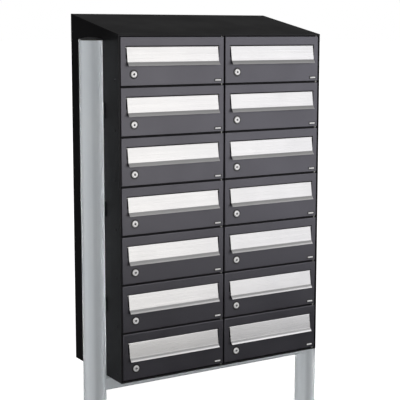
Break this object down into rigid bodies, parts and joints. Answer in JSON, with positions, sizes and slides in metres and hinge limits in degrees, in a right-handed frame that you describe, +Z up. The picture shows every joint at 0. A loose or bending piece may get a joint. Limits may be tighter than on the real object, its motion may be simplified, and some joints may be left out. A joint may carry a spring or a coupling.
{
  "type": "cluster mailbox unit",
  "caption": "Free-standing cluster mailbox: steel cabinet of lockable flap-fronted boxes under a sloping roof, carried between two round posts.",
  "frame": {"origin": "on the ground, under the middle of the whole unit", "axes": "+X to the right as seen from the front, +Y to the back, +Z up"},
  "size_m": [1.03, 0.364, 1.814],
  "materials": {
    "cabinet_powder_coat": "black fine-texture powder coat",
    "door_powder_coat": "black smooth satin powder coat",
    "flap_stainless": "stainless steel, grain along the flap",
    "lock_nickel": "satin nickel plate",
    "badge_white": "blank white inlay of the badge",
    "post_aluminium": "natural anodised, fine extrusion lines",
    "cap_plastic": "black moulded plastic",
    "rubber_pad": "black rubber",
    "zinc_plated_steel": "bright zinc plate"
  },
  "bodies": {
    "cabinet": {"left_side_panel": "cabinet_powder_coat", "right_side_panel": "cabinet_powder_coat", "back_panel": "cabinet_powder_coat", "roof": "cabinet_powder_coat", "floor_panel": "cabinet_powder_coat", "centre_divider": "cabinet_powder_coat", "compartment_plates": "cabinet_powder_coat", "lock_strikes": "cabinet_powder_coat", "door_pivot_pins": "zinc_plated_steel", "left_post": "post_aluminium", "right_post": "post_aluminium", "post_caps": "cap_plastic", "crossbar": "post_aluminium", "crossbar_pads": "rubber_pad", "base_plates": "post_aluminium", "post_saddles": "cap_plastic", "post_bolts": "zinc_plated_steel", "crossbar_bolts": "zinc_plated_steel"},
    "door_left_1": {"door_left_1": "door_powder_coat"},
    "flap_left_1": {"flap_left_1": "flap_stainless"},
    "lock_left_1": {"lock_left_1": "lock_nickel"},
    "door_left_2": {"door_left_2": "door_powder_coat"},
    "flap_left_2": {"flap_left_2": "flap_stainless"},
    "lock_left_2": {"lock_left_2": "lock_nickel"},
    "door_left_3": {"door_left_3": "door_powder_coat"},
    "flap_left_3": {"flap_left_3": "flap_stainless"},
    "lock_left_3": {"lock_left_3": "lock_nickel"},
    "door_left_4": {"door_left_4": "door_powder_coat"},
    "flap_left_4": {"flap_left_4": "flap_stainless"},
    "lock_left_4": {"lock_left_4": "lock_nickel"},
    "door_left_5": {"door_left_5": "door_powder_coat"},
    "flap_left_5": {"flap_left_5": "flap_stainless"},
    "lock_left_5": {"lock_left_5": "lock_nickel"},
    "door_left_6": {"door_left_6": "door_powder_coat"},
    "flap_left_6": {"flap_left_6": "flap_stainless"},
    "lock_left_6": {"lock_left_6": "lock_nickel"},
    "door_left_7": {"door_left_7": "door_powder_coat"},
    "flap_left_7": {"flap_left_7": "flap_stainless"},
    "lock_left_7": {"lock_left_7": "lock_nickel"},
    "door_right_1": {"door_right_1": "door_powder_coat"},
    "flap_right_1": {"flap_right_1": "flap_stainless"},
    "lock_right_1": {"lock_right_1": "lock_nickel"},
    "door_right_2": {"door_right_2": "door_powder_coat"},
    "flap_right_2": {"flap_right_2": "flap_stainless"},
    "lock_right_2": {"lock_right_2": "lock_nickel"},
    "door_right_3": {"door_right_3": "door_powder_coat"},
    "flap_right_3": {"flap_right_3": "flap_stainless"},
    "lock_right_3": {"lock_right_3": "lock_nickel"},
    "door_right_4": {"door_right_4": "door_powder_coat"},
    "flap_right_4": {"flap_right_4": "flap_stainless"},
    "lock_right_4": {"lock_right_4": "lock_nickel"},
    "door_right_5": {"door_right_5": "door_powder_coat"},
    "flap_right_5": {"flap_right_5": "flap_stainless"},
    "lock_right_5": {"lock_right_5": "lock_nickel"},
    "door_right_6": {"door_right_6": "door_powder_coat"},
    "flap_right_6": {"flap_right_6": "flap_stainless"},
    "lock_right_6": {"lock_right_6": "lock_nickel"},
    "door_right_7": {"door_right_7": "door_powder_coat"},
    "flap_right_7": {"flap_right_7": "flap_stainless"},
    "lock_right_7": {"lock_right_7": "lock_nickel"}
  },
  "joints": [
    {"name": "door_left_1_hinge", "type": "hinge", "parent": "cabinet", "child": "door_left_1", "pos_m": [-0.009, -0.162, 1.66], "axis": [0, 0, 1], "range_deg": [0, 100]},
    {"name": "flap_left_1_hinge", "type": "hinge", "parent": "door_left_1", "child": "flap_left_1", "pos_m": [-0.1955, -0.163, 1.704], "axis": [-1, 0, 0], "range_deg": [0, 80]},
    {"name": "lock_left_1_turn", "type": "hinge", "parent": "door_left_1", "child": "lock_left_1", "pos_m": [-0.3415, -0.168, 1.6195], "axis": [0, 1, 0], "range_deg": [0, 90]},
    {"name": "door_left_2_hinge", "type": "hinge", "parent": "cabinet", "child": "door_left_2", "pos_m": [-0.009, -0.162, 1.5], "axis": [0, 0, 1], "range_deg": [0, 100]},
    {"name": "flap_left_2_hinge", "type": "hinge", "parent": "door_left_2", "child": "flap_left_2", "pos_m": [-0.1955, -0.163, 1.544], "axis": [-1, 0, 0], "range_deg": [0, 80]},
    {"name": "lock_left_2_turn", "type": "hinge", "parent": "door_left_2", "child": "lock_left_2", "pos_m": [-0.3415, -0.168, 1.4595], "axis": [0, 1, 0], "range_deg": [0, 90]},
    {"name": "door_left_3_hinge", "type": "hinge", "parent": "cabinet", "child": "door_left_3", "pos_m": [-0.009, -0.162, 1.34], "axis": [0, 0, 1], "range_deg": [0, 100]},
    {"name": "flap_left_3_hinge", "type": "hinge", "parent": "door_left_3", "child": "flap_left_3", "pos_m": [-0.1955, -0.163, 1.384], "axis": [-1, 0, 0], "range_deg": [0, 80]},
    {"name": "lock_left_3_turn", "type": "hinge", "parent": "door_left_3", "child": "lock_left_3", "pos_m": [-0.3415, -0.168, 1.2995], "axis": [0, 1, 0], "range_deg": [0, 90]},
    {"name": "door_left_4_hinge", "type": "hinge", "parent": "cabinet", "child": "door_left_4", "pos_m": [-0.009, -0.162, 1.18], "axis": [0, 0, 1], "range_deg": [0, 100]},
    {"name": "flap_left_4_hinge", "type": "hinge", "parent": "door_left_4", "child": "flap_left_4", "pos_m": [-0.1955, -0.163, 1.224], "axis": [-1, 0, 0], "range_deg": [0, 80]},
    {"name": "lock_left_4_turn", "type": "hinge", "parent": "door_left_4", "child": "lock_left_4", "pos_m": [-0.3415, -0.168, 1.1395], "axis": [0, 1, 0], "range_deg": [0, 90]},
    {"name": "door_left_5_hinge", "type": "hinge", "parent": "cabinet", "child": "door_left_5", "pos_m": [-0.009, -0.162, 1.02], "axis": [0, 0, 1], "range_deg": [0, 100]},
    {"name": "flap_left_5_hinge", "type": "hinge", "parent": "door_left_5", "child": "flap_left_5", "pos_m": [-0.1955, -0.163, 1.064], "axis": [-1, 0, 0], "range_deg": [0, 80]},
    {"name": "lock_left_5_turn", "type": "hinge", "parent": "door_left_5", "child": "lock_left_5", "pos_m": [-0.3415, -0.168, 0.9795], "axis": [0, 1, 0], "range_deg": [0, 90]},
    {"name": "door_left_6_hinge", "type": "hinge", "parent": "cabinet", "child": "door_left_6", "pos_m": [-0.009, -0.162, 0.86], "axis": [0, 0, 1], "range_deg": [0, 100]},
    {"name": "flap_left_6_hinge", "type": "hinge", "parent": "door_left_6", "child": "flap_left_6", "pos_m": [-0.1955, -0.163, 0.904], "axis": [-1, 0, 0], "range_deg": [0, 80]},
    {"name": "lock_left_6_turn", "type": "hinge", "parent": "door_left_6", "child": "lock_left_6", "pos_m": [-0.3415, -0.168, 0.8195], "axis": [0, 1, 0], "range_deg": [0, 90]},
    {"name": "door_left_7_hinge", "type": "hinge", "parent": "cabinet", "child": "door_left_7", "pos_m": [-0.009, -0.162, 0.7], "axis": [0, 0, 1], "range_deg": [0, 100]},
    {"name": "flap_left_7_hinge", "type": "hinge", "parent": "door_left_7", "child": "flap_left_7", "pos_m": [-0.1955, -0.163, 0.744], "axis": [-1, 0, 0], "range_deg": [0, 80]},
    {"name": "lock_left_7_turn", "type": "hinge", "parent": "door_left_7", "child": "lock_left_7", "pos_m": [-0.3415, -0.168, 0.6595], "axis": [0, 1, 0], "range_deg": [0, 90]},
    {"name": "door_right_1_hinge", "type": "hinge", "parent": "cabinet", "child": "door_right_1", "pos_m": [0.382, -0.162, 1.66], "axis": [0, 0, 1], "range_deg": [0, 100]},
    {"name": "flap_right_1_hinge", "type": "hinge", "parent": "door_right_1", "child": "flap_right_1", "pos_m": [0.1955, -0.163, 1.704], "axis": [-1, 0, 0], "range_deg": [0, 80]},
    {"name": "lock_right_1_turn", "type": "hinge", "parent": "door_right_1", "child": "lock_right_1", "pos_m": [0.0495, -0.168, 1.6195], "axis": [0, 1, 0], "range_deg": [0, 90]},
    {"name": "door_right_2_hinge", "type": "hinge", "parent": "cabinet", "child": "door_right_2", "pos_m": [0.382, -0.162, 1.5], "axis": [0, 0, 1], "range_deg": [0, 100]},
    {"name": "flap_right_2_hinge", "type": "hinge", "parent": "door_right_2", "child": "flap_right_2", "pos_m": [0.1955, -0.163, 1.544], "axis": [-1, 0, 0], "range_deg": [0, 80]},
    {"name": "lock_right_2_turn", "type": "hinge", "parent": "door_right_2", "child": "lock_right_2", "pos_m": [0.0495, -0.168, 1.4595], "axis": [0, 1, 0], "range_deg": [0, 90]},
    {"name": "door_right_3_hinge", "type": "hinge", "parent": "cabinet", "child": "door_right_3", "pos_m": [0.382, -0.162, 1.34], "axis": [0, 0, 1], "range_deg": [0, 100]},
    {"name": "flap_right_3_hinge", "type": "hinge", "parent": "door_right_3", "child": "flap_right_3", "pos_m": [0.1955, -0.163, 1.384], "axis": [-1, 0, 0], "range_deg": [0, 80]},
    {"name": "lock_right_3_turn", "type": "hinge", "parent": "door_right_3", "child": "lock_right_3", "pos_m": [0.0495, -0.168, 1.2995], "axis": [0, 1, 0], "range_deg": [0, 90]},
    {"name": "door_right_4_hinge", "type": "hinge", "parent": "cabinet", "child": "door_right_4", "pos_m": [0.382, -0.162, 1.18], "axis": [0, 0, 1], "range_deg": [0, 100]},
    {"name": "flap_right_4_hinge", "type": "hinge", "parent": "door_right_4", "child": "flap_right_4", "pos_m": [0.1955, -0.163, 1.224], "axis": [-1, 0, 0], "range_deg": [0, 80]},
    {"name": "lock_right_4_turn", "type": "hinge", "parent": "door_right_4", "child": "lock_right_4", "pos_m": [0.0495, -0.168, 1.1395], "axis": [0, 1, 0], "range_deg": [0, 90]},
    {"name": "door_right_5_hinge", "type": "hinge", "parent": "cabinet", "child": "door_right_5", "pos_m": [0.382, -0.162, 1.02], "axis": [0, 0, 1], "range_deg": [0, 100]},
    {"name": "flap_right_5_hinge", "type": "hinge", "parent": "door_right_5", "child": "flap_right_5", "pos_m": [0.1955, -0.163, 1.064], "axis": [-1, 0, 0], "range_deg": [0, 80]},
    {"name": "lock_right_5_turn", "type": "hinge", "parent": "door_right_5", "child": "lock_right_5", "pos_m": [0.0495, -0.168, 0.9795], "axis": [0, 1, 0], "range_deg": [0, 90]},
    {"name": "door_right_6_hinge", "type": "hinge", "parent": "cabinet", "child": "door_right_6", "pos_m": [0.382, -0.162, 0.86], "axis": [0, 0, 1], "range_deg": [0, 100]},
    {"name": "flap_right_6_hinge", "type": "hinge", "parent": "door_right_6", "child": "flap_right_6", "pos_m": [0.1955, -0.163, 0.904], "axis": [-1, 0, 0], "range_deg": [0, 80]},
    {"name": "lock_right_6_turn", "type": "hinge", "parent": "door_right_6", "child": "lock_right_6", "pos_m": [0.0495, -0.168, 0.8195], "axis": [0, 1, 0], "range_deg": [0, 90]},
    {"name": "door_right_7_hinge", "type": "hinge", "parent": "cabinet", "child": "door_right_7", "pos_m": [0.382, -0.162, 0.7], "axis": [0, 0, 1], "range_deg": [0, 100]},
    {"name": "flap_right_7_hinge", "type": "hinge", "parent": "door_right_7", "child": "flap_right_7", "pos_m": [0.1955, -0.163, 0.744], "axis": [-1, 0, 0], "range_deg": [0, 80]},
    {"name": "lock_right_7_turn", "type": "hinge", "parent": "door_right_7", "child": "lock_right_7", "pos_m": [0.0495, -0.168, 0.6595], "axis": [0, 1, 0], "range_deg": [0, 90]}
  ]
}
